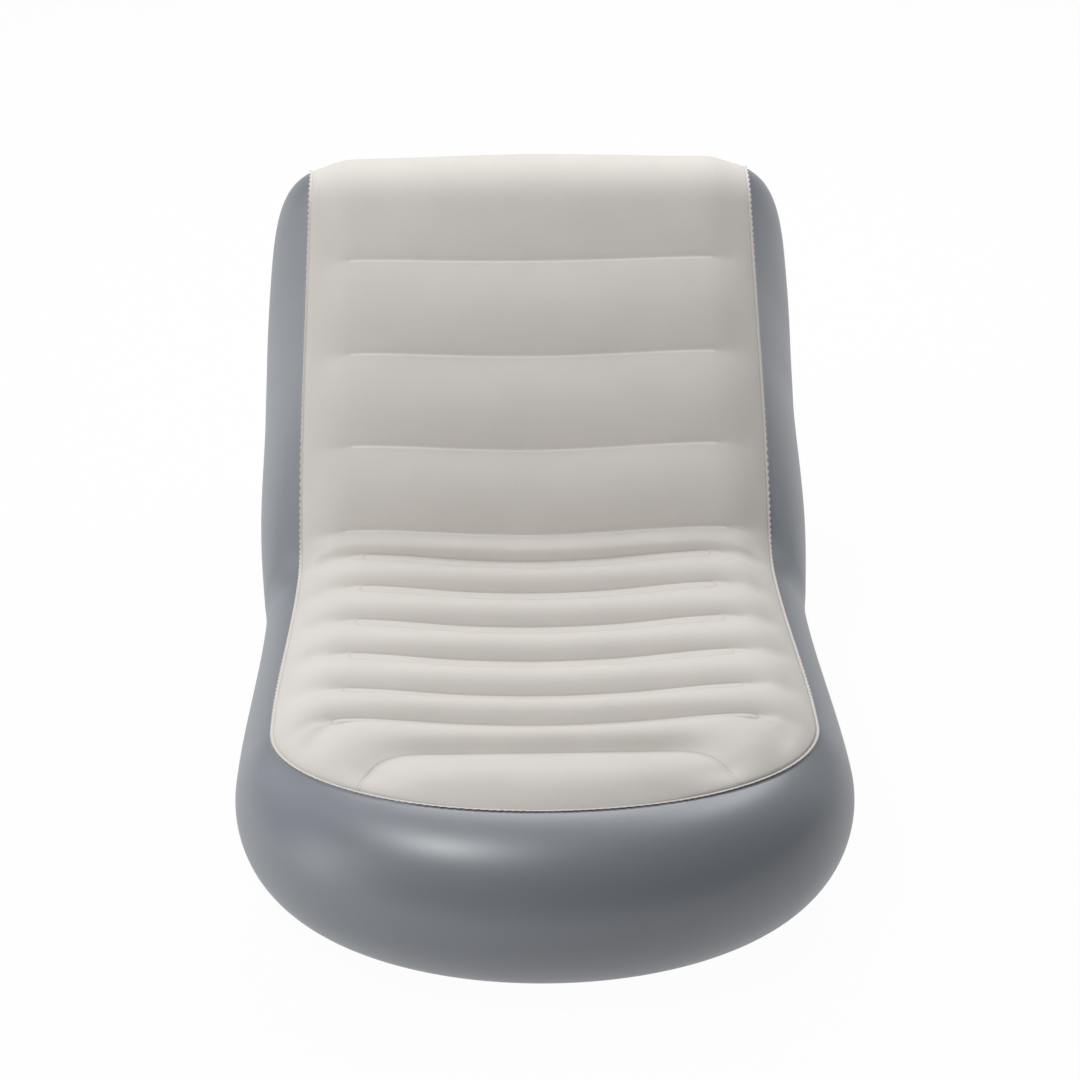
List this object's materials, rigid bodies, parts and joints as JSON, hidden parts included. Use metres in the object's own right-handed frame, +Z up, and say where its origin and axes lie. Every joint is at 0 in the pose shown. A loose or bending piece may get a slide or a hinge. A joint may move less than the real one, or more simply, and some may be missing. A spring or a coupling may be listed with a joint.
{
  "type": "inflatable lounger",
  "caption": "Low inflatable chaise lounger with a flocked ribbed seat and reclined back, a bulging vinyl side wall round its rounded foot end and a two-stage air valve at the rear.",
  "frame": {"origin": "on the floor, under the middle of the length and of the width", "axes": "+Z up, +Y from the foot end towards the rear, X across"},
  "size_m": [0.9962, 1.8008, 0.7589],
  "materials": {
    "flocked_vinyl": "matte short flock",
    "grey_vinyl": "satin",
    "base_vinyl": "fine grain",
    "strip_vinyl": "plain",
    "valve_plastic": "satin"
  },
  "bodies": {
    "chamber": {"lying_surface": "flocked_vinyl", "side_wall": "grey_vinyl", "rear_panel": "grey_vinyl", "base_sheet": "base_vinyl", "seat_strip_1": "strip_vinyl", "seat_strip_2": "strip_vinyl", "seat_strip_3": "strip_vinyl", "seat_strip_4": "strip_vinyl", "seat_strip_5": "strip_vinyl", "seat_strip_6": "strip_vinyl", "seat_strip_7": "strip_vinyl", "back_strip_1": "strip_vinyl", "back_strip_2": "strip_vinyl", "back_strip_3": "strip_vinyl", "back_strip_4": "strip_vinyl", "valve_base": "valve_plastic"},
    "stopper": {"valve_plug": "valve_plastic"},
    "cap": {"inlet_cap": "valve_plastic"},
    "flap": {"inlet_flap": "valve_plastic"}
  },
  "joints": [
    {"name": "stopper_hinge", "type": "hinge", "parent": "chamber", "child": "stopper", "pos_m": [0, 0.89381, 0.113], "axis": [-1, 0, 0], "range_deg": [0, 150]},
    {"name": "cap_hinge", "type": "hinge", "parent": "stopper", "child": "cap", "pos_m": [0, 0.89911, 0.1535], "axis": [1, 0, 0], "range_deg": [0, 150]},
    {"name": "flap_hinge", "type": "hinge", "parent": "stopper", "child": "flap", "pos_m": [0, 0.88501, 0.149], "axis": [-1, 0, 0], "range_deg": [0, 55], "stiffness_Nm_per_rad": 0.002}
  ]
}
